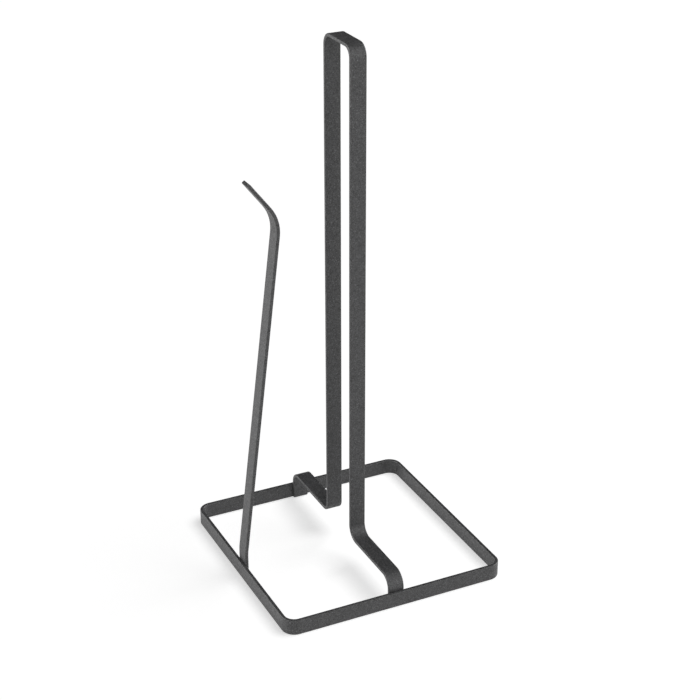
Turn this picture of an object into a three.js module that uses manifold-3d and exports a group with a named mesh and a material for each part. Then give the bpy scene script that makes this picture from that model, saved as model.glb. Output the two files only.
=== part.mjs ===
// A free-standing paper towel holder, bent from flat steel bar, welded and powder coated.
// Millimetres, +Z up. The origin is on the tabletop under the middle of the square base.
// X runs along the base's front bar, Y from its front bar to its back bar.
// Three strips make it: the base, the post that the roll slides over, and the spring arm
// that presses on the roll while a sheet is torn off.
// Each foot is welded flat to the inside of the base by two hidden spots.

import * as THREE from "three";
import { RoundedBoxGeometry } from "three/addons/geometries/RoundedBoxGeometry.js";
import { mergeVertices } from "three/addons/utils/BufferGeometryUtils.js";
import Module from "manifold-3d";

const wasm = await Module();
wasm.setup();

// The bar, measured over its coating.
const BAR_WIDTH = 10.4;
const BAR_THICK = 2.25;
const EDGE_ROUND = 0.5; // the rolled corners of its section
const EDGE_STEPS = 3;
const ARC_STEPS = 5; // three.js cuts an arc into twice as many lines

// The square base, on edge on the tabletop. Bend radii are those of the bar's middle line.
const BASE_SIDE = 150;
const BASE_BEND = 7.5;
const SEAM_WIDTH = 0.5; // the butt weld that closes it
const SEAM_RECESS = 0.1; // how far the ground-off seam lies under the bar's faces

// The post. Its front and back runs lead level from the base to the uprights, and hold the roll up.
const POST_HEIGHT = 341.5;
const UPRIGHT_SPACING = 34; // between the middle lines
const RUN_HEIGHT = 19.7;
const TOP_BEND = 6.7;
const FRONT_BEND = 8.4;
const BACK_FOOT_BEND = 6.9;
const BACK_BEND = 5.4;
const FOOT_LIFT = 0.4; // welded feet stop this far above the tabletop

// The arm. Its foot is upright, then it leans in towards the post, and its end turns out.
const ARM_KINK_HEIGHT = 18;
const ARM_KINK_BEND = 30;
const ARM_ELBOW = [-44.2, 239.4]; // x and z of the corner where the end turns out
const ARM_ELBOW_BEND = 24.5;
const ARM_TIP = [-62.7, 263.2];
const FLEX_HEIGHT = 45; // the arm bends as a leaf spring, about as if hinged here
const FLEX_GAP = 0.4;

// The spot welds: lenses of melted steel, half in the foot and half in the base.
const SPOT_RADIUS = 1.8;
const SPOT_DEPTH = 0.8;
const SPOT_SPACING = 4.8;
const SPOT_CLEARANCE = 0.3; // between a lens and its pocket
const SPOT_SIDES = 16;

const COAT = { color: 0x4a4a4b, roughness: 0.62, metalness: 0.35 };
const BARE_STEEL = { color: 0x8d8f92, roughness: 0.4, metalness: 1 };

const baseLine = BASE_SIDE / 2 - BAR_THICK / 2; // middle line of the base's bars
const footLine = baseLine - BAR_THICK; // middle line of a foot that lies against them

const holder = new THREE.Group();

function addPiece(name, geometry, finish, parent = holder) {
  const piece = new THREE.Mesh(geometry, new THREE.MeshStandardMaterial(finish));
  piece.name = name;
  parent.add(piece);
}

// A closed geometry as a manifold-3d solid, and back.
function solidOf(geometry) {
  const bare = geometry.clone();
  bare.deleteAttribute("normal");
  bare.deleteAttribute("uv");
  const { attributes, index } = mergeVertices(bare);
  return new wasm.Manifold(
    new wasm.Mesh({ numProp: 3, vertProperties: attributes.position.array, triVerts: index.array }),
  );
}

function geometryOf(solid) {
  const { vertProperties, triVerts } = solid.getMesh();
  const geometry = new THREE.BufferGeometry();
  geometry.setAttribute("position", new THREE.BufferAttribute(vertProperties, 3));
  geometry.setIndex(new THREE.BufferAttribute(triVerts, 1));
  const faceted = geometry.toNonIndexed();
  faceted.computeVertexNormals();
  return faceted;
}

// Where the two spots of each foot are. A foot's turn carries it from the front bar's middle to its own bar.
const FEET = [
  { foot: "front_foot", turn: 0, sides: ["left", "right"] },
  { foot: "back_foot", turn: Math.PI, sides: ["right", "left"] },
  { foot: "arm_foot", turn: -Math.PI / 2, sides: ["back", "front"] },
];
const spots = FEET.flatMap(({ foot, turn, sides }) =>
  sides.map((side, i) => {
    const place = new THREE.Matrix4().makeRotationZ(turn);
    const inward = BAR_THICK / 2 - baseLine;
    place.multiply(new THREE.Matrix4().makeTranslation((i - 0.5) * SPOT_SPACING, inward, BAR_WIDTH / 2));
    return { name: `${foot}_weld_${side}`, place };
  }),
);

// A spot's lens, or with a clearance the pocket that it melts in, flat along its own Y.
function lens(clearance = 0) {
  const radius = SPOT_RADIUS + clearance;
  const ball = new THREE.SphereGeometry(radius, SPOT_SIDES, SPOT_SIDES / 2);
  return ball.scale(1, (SPOT_DEPTH + clearance) / radius, 1);
}

// The geometry of a piece that stands in a frame, with the pockets of the spots that reach it.
function withPockets(geometry, frame) {
  frame.updateMatrix();
  const toFrame = frame.matrix.clone().invert();
  let solid = solidOf(geometry);
  for (const { place } of spots) {
    const pocket = lens(SPOT_CLEARANCE).applyMatrix4(place).applyMatrix4(toFrame);
    solid = solid.subtract(solidOf(pocket));
  }
  return geometryOf(solid);
}

// How a middle line bends at one corner: the arc's centre, its first and last angle, and its turn, 1 for left.
function cornerArc(before, corner, after, radius) {
  const into = corner.clone().sub(before).normalize();
  const out = after.clone().sub(corner).normalize();
  const turn = Math.sign(into.cross(out));
  const half = Math.acos(into.dot(out)) / 2;
  const toCentre = out.clone().sub(into).normalize();
  const centre = corner.clone().addScaledVector(toCentre, radius / Math.cos(half));
  const start = into.angle() - (turn * Math.PI) / 2;
  return { centre, radius, turn, start, end: start + turn * 2 * half };
}

// A length of bar seen on its edge. Its middle line runs through the points, and bends to one radius at each
// point between the ends.
function stripOutline(points, radii) {
  const line = points.map(([x, y]) => new THREE.Vector2(x, y));
  const arcs = radii.map((radius, i) => cornerArc(line[i], line[i + 1], line[i + 2], radius));
  const beside = (end, next, side) => {
    const [ax, ay] = next.clone().sub(end).normalize().toArray();
    return new THREE.Vector2(-ay, ax).multiplyScalar((side * BAR_THICK) / 2).add(end);
  };
  const [first, second] = line;
  const [nextToLast, last] = line.slice(-2);
  const outline = new THREE.Shape();
  outline.moveTo(...beside(first, second, 1));
  for (const { centre, radius, turn, start, end } of arcs)
    outline.absarc(...centre, radius - (turn * BAR_THICK) / 2, start, end, turn < 0);
  outline.lineTo(...beside(last, nextToLast, -1));
  outline.lineTo(...beside(last, nextToLast, 1));
  for (const { centre, radius, turn, start, end } of arcs.reverse())
    outline.absarc(...centre, radius + (turn * BAR_THICK) / 2, end, start, turn > 0);
  outline.lineTo(...beside(first, second, -1));
  outline.closePath();
  return outline;
}

// A strip in its frame: the middle line is drawn in the frame's X and Y, and its width runs along Z from 0.
function addStrip(name, points, radii, frame) {
  const geometry = new THREE.ExtrudeGeometry(stripOutline(points, radii), {
    depth: BAR_WIDTH - 2 * EDGE_ROUND,
    curveSegments: ARC_STEPS,
    bevelThickness: EDGE_ROUND,
    bevelSize: EDGE_ROUND,
    bevelOffset: -EDGE_ROUND,
    bevelSegments: EDGE_STEPS,
  });
  geometry.translate(0, 0, EDGE_ROUND);
  addPiece(name, withPockets(geometry, frame), COAT, frame);
}

// A frame that stands upright over one of the tabletop's directions, with the bar's width centred on it.
function uprightFrame(across) {
  const up = new THREE.Vector3(0, 0, 1);
  const width = across.clone().cross(up);
  const frame = new THREE.Group();
  frame.quaternion.setFromRotationMatrix(new THREE.Matrix4().makeBasis(across, up, width));
  frame.position.copy(width).multiplyScalar(-BAR_WIDTH / 2);
  holder.add(frame);
  return frame;
}

// The base is one strip. Its ends meet behind the post's back foot in a butt weld that is ground off.
function addBase() {
  const corners = [
    [SEAM_WIDTH / 2, baseLine],
    [baseLine, baseLine],
    [baseLine, -baseLine],
    [-baseLine, -baseLine],
    [-baseLine, baseLine],
    [-SEAM_WIDTH / 2, baseLine],
  ];
  const frame = new THREE.Group();
  holder.add(frame);
  addStrip("base_ring", corners, Array(4).fill(BASE_BEND), frame);
  const thick = BAR_THICK - 2 * SEAM_RECESS;
  const height = BAR_WIDTH - 2 * SEAM_RECESS;
  const seam = new RoundedBoxGeometry(SEAM_WIDTH, thick, height, 2, SEAM_WIDTH * 0.4);
  addPiece("base_seam_weld", seam.translate(0, baseLine, BAR_WIDTH / 2), COAT);
}

// The post is one strip in the YZ plane: foot, run, upright, over the top, upright, run, foot.
function addPost() {
  const upright = UPRIGHT_SPACING / 2;
  const top = POST_HEIGHT - BAR_THICK / 2;
  const points = [
    [-footLine, FOOT_LIFT],
    [-footLine, RUN_HEIGHT],
    [-upright, RUN_HEIGHT],
    [-upright, top],
    [upright, top],
    [upright, RUN_HEIGHT],
    [footLine, RUN_HEIGHT],
    [footLine, FOOT_LIFT],
  ];
  const bends = [FRONT_BEND, FRONT_BEND, TOP_BEND, TOP_BEND, BACK_BEND, BACK_FOOT_BEND];
  addStrip("roll_post", points, bends, uprightFrame(new THREE.Vector3(0, 1, 0)));
}

// The arm is one strip in the XZ plane. It is divided at the height it flexes about, because the root is
// fixed and the blade turns.
function addArm() {
  const frame = uprightFrame(new THREE.Vector3(1, 0, 0));
  const kink = new THREE.Vector2(-footLine, ARM_KINK_HEIGHT);
  const lean = new THREE.Vector2(...ARM_ELBOW).sub(kink).normalize();
  const onLean = (height) => kink.clone().addScaledVector(lean, (height - kink.y) / lean.y).toArray();
  const rootPoints = [[-footLine, FOOT_LIFT], kink.toArray(), onLean(FLEX_HEIGHT - FLEX_GAP / 2)];
  addStrip("tear_arm_root", rootPoints, [ARM_KINK_BEND], frame);
  const bladePoints = [onLean(FLEX_HEIGHT + FLEX_GAP / 2), ARM_ELBOW, ARM_TIP];
  addStrip("tear_arm_blade", bladePoints, [ARM_ELBOW_BEND], frame);
}

function addSpotWelds() {
  for (const { name, place } of spots) {
    const frame = new THREE.Group();
    frame.applyMatrix4(place);
    holder.add(frame);
    addPiece(name, lens(), BARE_STEEL, frame);
  }
}

addBase();
addPost();
addArm();
addSpotWelds();

export default holder;
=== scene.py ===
# %% [markdown]
# # A paper towel holder bent from flat bar
# The holder is three strips of flat steel bar: a square base on edge, a tall loop post that the roll slides
# over, and a springy arm that presses on the roll. Each strip is bent, the feet are spot welded to the
# inside of the base, and everything gets one fine-textured anthracite powder coat. So the lesson has three
# themes: bending a bar with extrude and spin, keeping wide flat faces flat, and building a matt coat that
# sparkles a little.

import math

import bmesh
import bpy
from mathutils import Euler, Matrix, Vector


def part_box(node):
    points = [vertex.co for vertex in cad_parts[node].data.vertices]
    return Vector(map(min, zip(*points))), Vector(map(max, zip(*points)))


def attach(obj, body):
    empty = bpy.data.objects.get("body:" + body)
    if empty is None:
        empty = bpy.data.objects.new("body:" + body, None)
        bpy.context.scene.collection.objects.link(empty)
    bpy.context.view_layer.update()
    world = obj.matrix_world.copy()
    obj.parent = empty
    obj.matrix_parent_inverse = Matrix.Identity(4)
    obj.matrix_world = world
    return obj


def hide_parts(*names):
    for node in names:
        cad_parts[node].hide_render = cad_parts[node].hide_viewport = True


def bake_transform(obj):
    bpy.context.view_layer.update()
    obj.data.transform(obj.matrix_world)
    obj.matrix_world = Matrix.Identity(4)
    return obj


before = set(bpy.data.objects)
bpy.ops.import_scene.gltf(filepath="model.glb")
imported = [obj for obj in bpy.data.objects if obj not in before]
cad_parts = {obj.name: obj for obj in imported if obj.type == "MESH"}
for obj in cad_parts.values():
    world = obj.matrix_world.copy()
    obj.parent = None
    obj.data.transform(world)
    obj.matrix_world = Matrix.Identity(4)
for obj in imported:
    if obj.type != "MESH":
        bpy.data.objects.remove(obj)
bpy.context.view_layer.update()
MM = 0.001

# %% [markdown]
# The camera comes first, because it decides what needs the most care. It stands in front of the holder, a
# little to its left, and looks down on it from about a metre away with a portrait lens. The aim is a point
# on the axis of the post, and the camera is pushed back from there along one direction, so that its angle
# and its distance can be changed on their own.

# %% Camera
CAMERA_TURN = -25.9  # degrees from straight in front, negative to the left
CAMERA_RISE = 26.25  # degrees above level
CAMERA_REACH = 1.031
CAMERA_LENS = 85.8
AIM = Vector((0.0027, -0.0013, 0.144))


def away(turn, rise):
    """The direction from the holder towards a camera or a lamp at a turn and a rise in degrees."""
    turn, rise = math.radians(turn), math.radians(rise)
    return Vector((math.sin(turn) * math.cos(rise), -math.cos(turn) * math.cos(rise), math.sin(rise)))


def look_at(thing, aim):
    """Turn a camera or a lamp so that it faces a point."""
    thing.rotation_euler = (aim - thing.location).to_track_quat("-Z", "Y").to_euler()


bpy.ops.object.camera_add(location=AIM + CAMERA_REACH * away(CAMERA_TURN, CAMERA_RISE))
camera = bpy.context.object
camera.name = "camera"
camera.data.lens = CAMERA_LENS
look_at(camera, AIM)
bpy.context.scene.camera = camera
print("camera at", [round(v, 3) for v in camera.location])

# %% [markdown]
# The sizes come from the frame. The base's box gives its side and the bar's width, and a foot that lies
# inside the base starts one thickness further in, which gives the thickness. Only the bend radii, the bar's
# rounded corners and the arm's two corners are stated here.

# %% Sizes
base_low, base_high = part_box("base_ring")
post_low, post_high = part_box("roll_post")
BASE_HALF = base_high.x
BAR_WIDTH = base_high.z - base_low.z
BAR_THICK = post_low.y - base_low.y
BASE_LINE = BASE_HALF - BAR_THICK / 2  # middle line of the base's bars
FOOT_LINE = BASE_LINE - BAR_THICK  # middle line of a foot against them
FOOT_LIFT = post_low.z  # the gap under the feet

EDGE_ROUND = 0.6 * MM  # of the bar's four long edges
END_ROUND = 0.35 * MM  # of the rims of its cut ends
BASE_BEND = 7.5 * MM  # bend radii are those of the middle line
SEAM_WIDTH = 0.5 * MM
UPRIGHT_HALF = 17 * MM
RUN_HEIGHT = 19.7 * MM
TOP_BEND = 6.7 * MM
FRONT_BEND = 8.4 * MM
BACK_FOOT_BEND = 6.9 * MM
BACK_BEND = 5.4 * MM
FLEX_PIECE = 3 * MM  # length of the pieces that the springy arm is fed in
ARM_KINK = (-FOOT_LINE, 18 * MM)  # the arm's corners, as distance from the middle and height
ARM_KINK_BEND = 30 * MM
ARM_ELBOW = (-44.2 * MM, 239.4 * MM)
ARM_ELBOW_BEND = 24.5 * MM
ARM_TIP = (-62.7 * MM, 263.2 * MM)
print(f"bar {BAR_WIDTH / MM:.2f} x {BAR_THICK / MM:.2f} mm, base {2 * BASE_HALF / MM:.1f} mm")

# %% [markdown]
# All three strips are made the way a bending machine makes them: feed a length straight, turn it round a
# roller, feed again. In Blender the cut end of the bar is one face. Extrude feeds it and spin turns it, so
# the bar grows behind the moving face with clean quads all along. A curve with a bevel would be quicker,
# but it pinches its section at tight bends, and a bend's radius is hard to set. Each strip is drawn lying
# down, with its middle line in X and Y and its width along Z, and is stood up when it is finished.

# %% Feed and turn
CORNER_STEPS = 5  # facets in each rounded corner of the section
BEND_DEGREES = 6  # each facet of a bend turns about this far
LONGEST_PIECE = 1.0  # metres; longer than any straight stretch, so that each is fed in one piece


def deselect_all():
    """Operators act on all that is selected, so every step starts from nothing."""
    if bpy.context.object and bpy.context.object.mode != "OBJECT":
        bpy.ops.object.mode_set(mode="OBJECT")
    bpy.ops.object.select_all(action="DESELECT")


def cut_end(name, at, heading):
    """The cut end of a new bar: one face with rounded corners that looks along the heading."""
    deselect_all()
    turned = (math.pi / 2, 0, heading + math.pi / 2)
    bpy.ops.mesh.primitive_plane_add(size=1, location=(*at, 0), rotation=turned)
    bar = bpy.context.object
    bar.name = bar.data.name = name
    bar.scale = (BAR_THICK, BAR_WIDTH, 1)
    bpy.ops.object.transform_apply(location=True, rotation=True, scale=True)
    bpy.ops.object.mode_set(mode="EDIT")
    bpy.ops.mesh.select_all(action="SELECT")
    bpy.ops.mesh.bevel(offset=EDGE_ROUND, segments=CORNER_STEPS, affect="VERTICES")
    bpy.ops.mesh.select_all(action="SELECT")
    return bar


def feed(length, heading, pieces=1):
    """Push the selected end straight on, in one or several pieces."""
    step = Vector((math.cos(heading), math.sin(heading), 0)) * (length / pieces)
    for _ in range(pieces):
        bpy.ops.mesh.extrude_region_move(TRANSFORM_OT_translate={"value": step})


def turn(angle, centre):
    """Roll the selected end round a centre; a positive angle turns left. Spin counts its angle clockwise."""
    steps = max(2, round(abs(math.degrees(angle)) / BEND_DEGREES))
    axis = (0, 0, -math.copysign(1, angle))
    bpy.ops.mesh.spin(steps=steps, angle=abs(angle), center=(*centre, 0), axis=axis)


def bend_bar(name, corners, radii, piece_length=LONGEST_PIECE):
    """A bar whose middle line runs through the corners and bends to one radius at each inner corner."""
    line = [Vector(corner) for corner in corners]
    headings = [math.atan2(*(b - a).yx) for a, b in zip(line, line[1:])]
    bar = cut_end(name, line[0], headings[0])
    start = line[0]
    for corner, radius, before, after in zip(line[1:-1], radii, headings, headings[1:]):
        angle = math.remainder(after - before, math.tau)
        tangent = radius * math.tan(abs(angle) / 2)
        into = Vector((math.cos(before), math.sin(before)))
        out = Vector((math.cos(after), math.sin(after)))
        length = (corner - into * tangent - start).length
        feed(length, before, math.ceil(length / piece_length))
        left = Vector((-into.y, into.x))
        centre = corner - into * tangent + left * math.copysign(radius, angle)
        turn(angle, centre)
        start = corner + out * tangent
    length = (line[-1] - start).length
    feed(length, headings[-1], math.ceil(length / piece_length))
    bpy.ops.mesh.select_all(action="SELECT")
    bpy.ops.mesh.remove_doubles(threshold=1e-6)
    bpy.ops.mesh.normals_make_consistent(inside=False)
    bpy.ops.object.mode_set(mode="OBJECT")
    return bar


# %% [markdown]
# A sawn or sheared end is never a razor edge once it is deburred and coated. The two end faces are found by
# their many sides: every other face of the bar is a quad. Their rims get a small bevel.

# %% Ends, place and shading
RIM_STEPS = 3
SMOOTH_BELOW = 40  # degrees between two faces


def soften_ends(bar):
    """Bevel the rims of a bar's two cut ends."""
    bpy.ops.object.mode_set(mode="EDIT")
    bpy.ops.mesh.select_mode(type="FACE")
    bpy.ops.mesh.select_all(action="DESELECT")
    shape = bmesh.from_edit_mesh(bar.data)
    for face in shape.faces:
        face.select = len(face.verts) > 4
    bmesh.update_edit_mesh(bar.data)
    bpy.ops.mesh.region_to_loop()
    bpy.ops.mesh.bevel(offset=END_ROUND, segments=RIM_STEPS, affect="EDGES")
    bpy.ops.object.mode_set(mode="OBJECT")


def stand_up(bar, turned, at=(0, 0, 0)):
    """Turn a finished bar from its drawing plane into place, and keep the object itself unturned."""
    deselect_all()
    bar.select_set(True)
    bpy.context.view_layer.objects.active = bar
    bar.rotation_euler = Euler(turned)
    bar.location = at
    bpy.ops.object.transform_apply(location=True, rotation=True, scale=False)


def shade(bar):
    """Smooth the rounds, and weight the normals by area so that wide faces stay flat."""
    deselect_all()
    bar.select_set(True)
    bpy.context.view_layer.objects.active = bar
    bpy.ops.object.shade_smooth_by_angle(angle=math.radians(SMOOTH_BELOW))
    bpy.ops.object.modifier_add(type="WEIGHTED_NORMAL")
    bar.modifiers[-1].keep_sharp = True
    bpy.ops.object.modifier_apply(modifier=bar.modifiers[-1].name)
    print(bar.name, len(bar.data.polygons), "faces")


# %% [markdown]
# The base is a square of bar that stands on its edge. Its two ends meet in the middle of the back bar,
# hidden behind the post's back foot, where a butt weld closes the square. Four straight bars with bevelled
# corners would be fewer steps, but a bend of one even radius carries the light round each corner without a
# break, and the grain runs on through it.

# %% Base
base = bend_bar(
    "square_base",
    [
        (SEAM_WIDTH / 2, BASE_LINE),
        (BASE_LINE, BASE_LINE),
        (BASE_LINE, -BASE_LINE),
        (-BASE_LINE, -BASE_LINE),
        (-BASE_LINE, BASE_LINE),
        (-SEAM_WIDTH / 2, BASE_LINE),
    ],
    [BASE_BEND] * 4,
)
soften_ends(base)
stand_up(base, (0, 0, 0), (0, 0, BAR_WIDTH / 2))
shade(base)

# %% [markdown]
# The post is one long strip: up from the front foot, level inwards, up the front upright, over the top, down
# the back upright, level outwards and down to the back foot. It is drawn in X and Y as if seen from the
# right, then stood up so that the drawing's Y becomes the height. Its bends are not all alike: the front
# ones are wide, the ones at the back foot are tighter, and the two at the top make a nearly square end.

# %% Post
TOP_LINE = post_high.z - BAR_THICK / 2
post = bend_bar(
    "loop_post",
    [
        (-FOOT_LINE, FOOT_LIFT),
        (-FOOT_LINE, RUN_HEIGHT),
        (-UPRIGHT_HALF, RUN_HEIGHT),
        (-UPRIGHT_HALF, TOP_LINE),
        (UPRIGHT_HALF, TOP_LINE),
        (UPRIGHT_HALF, RUN_HEIGHT),
        (FOOT_LINE, RUN_HEIGHT),
        (FOOT_LINE, FOOT_LIFT),
    ],
    [FRONT_BEND, FRONT_BEND, TOP_BEND, TOP_BEND, BACK_BEND, BACK_FOOT_BEND],
)
soften_ends(post)
stand_up(post, (math.pi / 2, 0, math.pi / 2))
shade(post)

# %% [markdown]
# The arm is the springy strip. It is fed in short pieces, so that it has a ring of edges every few
# millimetres along its length.

# %% Arm
arm = bend_bar(
    "tear_off_arm",
    [(-FOOT_LINE, FOOT_LIFT), ARM_KINK, ARM_ELBOW, ARM_TIP],
    [ARM_KINK_BEND, ARM_ELBOW_BEND],
    piece_length=FLEX_PIECE,
)
soften_ends(arm)
stand_up(arm, (math.pi / 2, 0, 0))
shade(arm)

# %% [markdown]
# The coat is anthracite powder, baked to a matt film with a fine orange peel. Three things make it look
# like powder and not like plastic: a bump of two sizes, grains of 0.4 mm that each have their own tone, from
# black to twice the coat's colour, and their own gloss, and sparse lighter flakes. The grains are the cells
# of a Voronoi texture, whose colour output is random from cell to cell. All of it reads Object coordinates
# in metres, so the grain has one size on every strip.

# %% Powder coat
COAT_COLOUR = (0.0225, 0.0225, 0.0232)
FLAKE_COLOUR = (0.12, 0.12, 0.124)
PEEL_SCALE = 900  # noise cells in a metre
GRAIN_SCALE = 2600
CLOUD_SCALE = 260
CLOUD_SHARE = 0.1  # of the tone; the rest comes from the grains
FLAKES_ABOVE = 0.95  # the lightest twentieth of the grains are flakes
GRAIN_GLOSS = 0.16  # the lightest grains are this much less rough
COAT_BUMP = 0.06 * MM


class Nodes:
    """A few short words for building a node tree."""

    def __init__(self, name):
        self.material = bpy.data.materials.new(name)
        self.material.use_nodes = True
        self.tree = self.material.node_tree
        self.shader = self.tree.nodes["Principled BSDF"]
        self.place = self.tree.nodes.new("ShaderNodeTexCoord").outputs["Object"]

    def add(self, kind, **sockets):
        node = self.tree.nodes.new("ShaderNode" + kind)
        for name, value in sockets.items():
            self.join(value, node.inputs[name])
        return node

    def join(self, value, socket):
        if isinstance(value, bpy.types.NodeSocket):
            self.tree.links.new(value, socket)
        else:
            socket.default_value = value

    def noise(self, per_metre, detail=2.0, roughness=0.5):
        node = self.add("TexNoise", Vector=self.place, Scale=per_metre, Detail=detail)
        node.inputs["Roughness"].default_value = roughness
        return node.outputs["Fac"]

    def remap(self, value, low, high, to_low, to_high):
        node = self.add("MapRange", Value=value)
        for name, number in zip(("From Min", "From Max", "To Min", "To Max"), (low, high, to_low, to_high)):
            node.inputs[name].default_value = number
        return node.outputs["Result"]

    def mix(self, share, first, second):
        node = self.tree.nodes.new("ShaderNodeMix")
        node.data_type = "RGBA"
        for value, socket in ((share, node.inputs[0]), (first, node.inputs[6]), (second, node.inputs[7])):
            self.join(value, socket)
        return node.outputs[2]

    def math(self, operation, first, second):
        node = self.tree.nodes.new("ShaderNodeMath")
        node.operation = operation
        self.join(first, node.inputs[0])
        self.join(second, node.inputs[1])
        return node.outputs[0]

    def bump(self, height, depth):
        return self.add("Bump", Height=height, Distance=depth).outputs["Normal"]


def powder_coat():
    n = Nodes("anthracite_powder_coat")
    peel = n.noise(PEEL_SCALE, detail=3.0)
    fine = n.noise(GRAIN_SCALE, roughness=0.6)
    cloud = n.remap(n.noise(CLOUD_SCALE), 0.35, 0.65, 0.0, CLOUD_SHARE)
    cells = n.add("TexVoronoi", Vector=n.place, Scale=GRAIN_SCALE)
    tone = n.add("SeparateColor", Color=cells.outputs["Color"]).outputs[0]
    share = n.math("ADD", n.math("MULTIPLY", tone, 1 - CLOUD_SHARE), cloud)
    grains = n.mix(share, (0, 0, 0, 1), (*[2 * c for c in COAT_COLOUR], 1))
    flakes = n.remap(tone, FLAKES_ABOVE, 1.0, 0.0, 0.6)
    n.join(n.mix(flakes, grains, (*FLAKE_COLOUR, 1)), n.shader.inputs["Base Color"])
    matt = n.math("SUBTRACT", n.remap(peel, 0.3, 0.7, 0.54, 0.66), n.math("MULTIPLY", tone, GRAIN_GLOSS))
    n.join(matt, n.shader.inputs["Roughness"])
    height = n.math("ADD", n.math("MULTIPLY", peel, 0.7), n.math("MULTIPLY", fine, 0.5))
    n.join(n.bump(height, COAT_BUMP), n.shader.inputs["Normal"])
    return n.material


coat = powder_coat()


def finish_with(piece, material):
    """Give a piece one material all over."""
    piece.data.materials.clear()
    piece.data.materials.append(material)


for piece in (base, post, arm):
    finish_with(piece, coat)

# %% [markdown]
# The welds are bare steel that has melted and set. The spots lie hidden between foot and base, and the butt
# weld in the base is ground off and coated like the bar.

# %% Weld metal


def weld_metal():
    n = Nodes("weld_steel")
    ripples = n.noise(1500, detail=3.0)
    cool, warm = (0.46, 0.46, 0.48, 1), (0.56, 0.52, 0.46, 1)
    n.join(n.mix(n.remap(ripples, 0.35, 0.65, 0.0, 1.0), cool, warm), n.shader.inputs["Base Color"])
    n.shader.inputs["Metallic"].default_value = 1.0
    n.join(n.remap(ripples, 0.3, 0.7, 0.3, 0.5), n.shader.inputs["Roughness"])
    n.join(n.bump(ripples, 0.05 * MM), n.shader.inputs["Normal"])
    return n.material


spot_steel = weld_metal()
for name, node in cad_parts.items():
    if "foot_weld" in name:
        finish_with(node, spot_steel)
finish_with(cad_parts["base_seam_weld"], coat)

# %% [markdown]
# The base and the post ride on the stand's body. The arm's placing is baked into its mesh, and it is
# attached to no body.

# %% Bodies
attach(base, "stand")
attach(post, "stand")
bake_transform(arm)
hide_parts("base_ring")
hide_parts("roll_post")
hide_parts("tear_arm_root", "tear_arm_blade")

# %% [markdown]
# The studio is a white floor under a white sky. A matt dark bar shows its shape by what it mirrors at a flat
# angle, so most of the light will come from broad lamps low down: level faces stay dark, upright faces are
# grey, and the edges towards the lamps get a thin light line. The floor glows like a light table, which
# keeps the shadows on it pale. The sky is white only for the camera, and nearly dark for everything else, so
# that it doesn't wash out the level faces.

# %% Floor and sky
FLOOR_HALF = 6.0
FLOOR_GLOW = 0.62
FLOOR_TINTS = ((0.86, 0.86, 0.86, 1), (0.88, 0.88, 0.88, 1))
SKY_DIM = 0.02
WHITE = (1, 1, 1, 1)

bpy.ops.mesh.primitive_plane_add(size=2 * FLOOR_HALF)
floor = bpy.context.object
floor.name = "floor"
paper = Nodes("floor_paper")
tint = paper.mix(paper.noise(3), *FLOOR_TINTS)
paper.join(tint, paper.shader.inputs["Base Color"])
paper.shader.inputs["Roughness"].default_value = 0.9
paper.shader.inputs["Emission Color"].default_value = WHITE
paper.shader.inputs["Emission Strength"].default_value = FLOOR_GLOW
finish_with(floor, paper.material)

world = bpy.data.worlds.new("sky")
bpy.context.scene.world = world
world.use_nodes = True
tree = world.node_tree
seen = tree.nodes.new("ShaderNodeLightPath").outputs["Is Camera Ray"]
strength = tree.nodes.new("ShaderNodeMapRange")
strength.inputs["To Min"].default_value = SKY_DIM
tree.links.new(seen, strength.inputs["Value"])
tree.links.new(strength.outputs["Result"], tree.nodes["Background"].inputs["Strength"])
tree.nodes["Background"].inputs["Color"].default_value = WHITE
bpy.context.scene.view_settings.view_transform = "Standard"
print("floor", 2 * FLOOR_HALF, "m, glow", FLOOR_GLOW)

# %% [markdown]
# Light linking says which things a lamp lights. One high lamp lights the floor alone, and gives it the soft
# shadow where the base stands. The others light the holder and skip the floor, because a low lamp would draw
# long grey streaks on it. Three of them stand low, each as broad as a window close by: a small low lamp
# would make hard white glare on the level faces when they are seen from the far side. The fourth stands
# high in front on the left and is weak, and it lifts the level faces a little.

# %% Lamps


def link_lamp(light, state):
    """Let a lamp light the floor alone (INCLUDE), or everything but the floor (EXCLUDE)."""
    group = bpy.data.collections.new(light.name + "_lights")
    group.objects.link(floor)
    group.collection_objects[0].light_linking.link_state = state
    light.light_linking.receiver_collection = group


def lamp(name, turn, rise, strength, softness, state="EXCLUDE"):
    """A far, soft lamp at a turn and a rise in degrees; softness is the angle that it fills."""
    bpy.ops.object.light_add(type="SUN", location=AIM + away(turn, rise))
    light = bpy.context.object
    light.name = name
    light.data.energy = strength
    light.data.angle = math.radians(softness)
    look_at(light, AIM)
    link_lamp(light, state)
    print("lamp", name, "at turn", turn, "rise", rise)


lamp("overhead", 75, 62, 1.6, 45, "INCLUDE")
lamp("behind_left", -110, 10, 5.9, 60)
lamp("right", 80, 18, 4.6, 50)
lamp("front", 0, 8, 2.1, 60)
lamp("front_left", -40, 60, 1.2, 45)
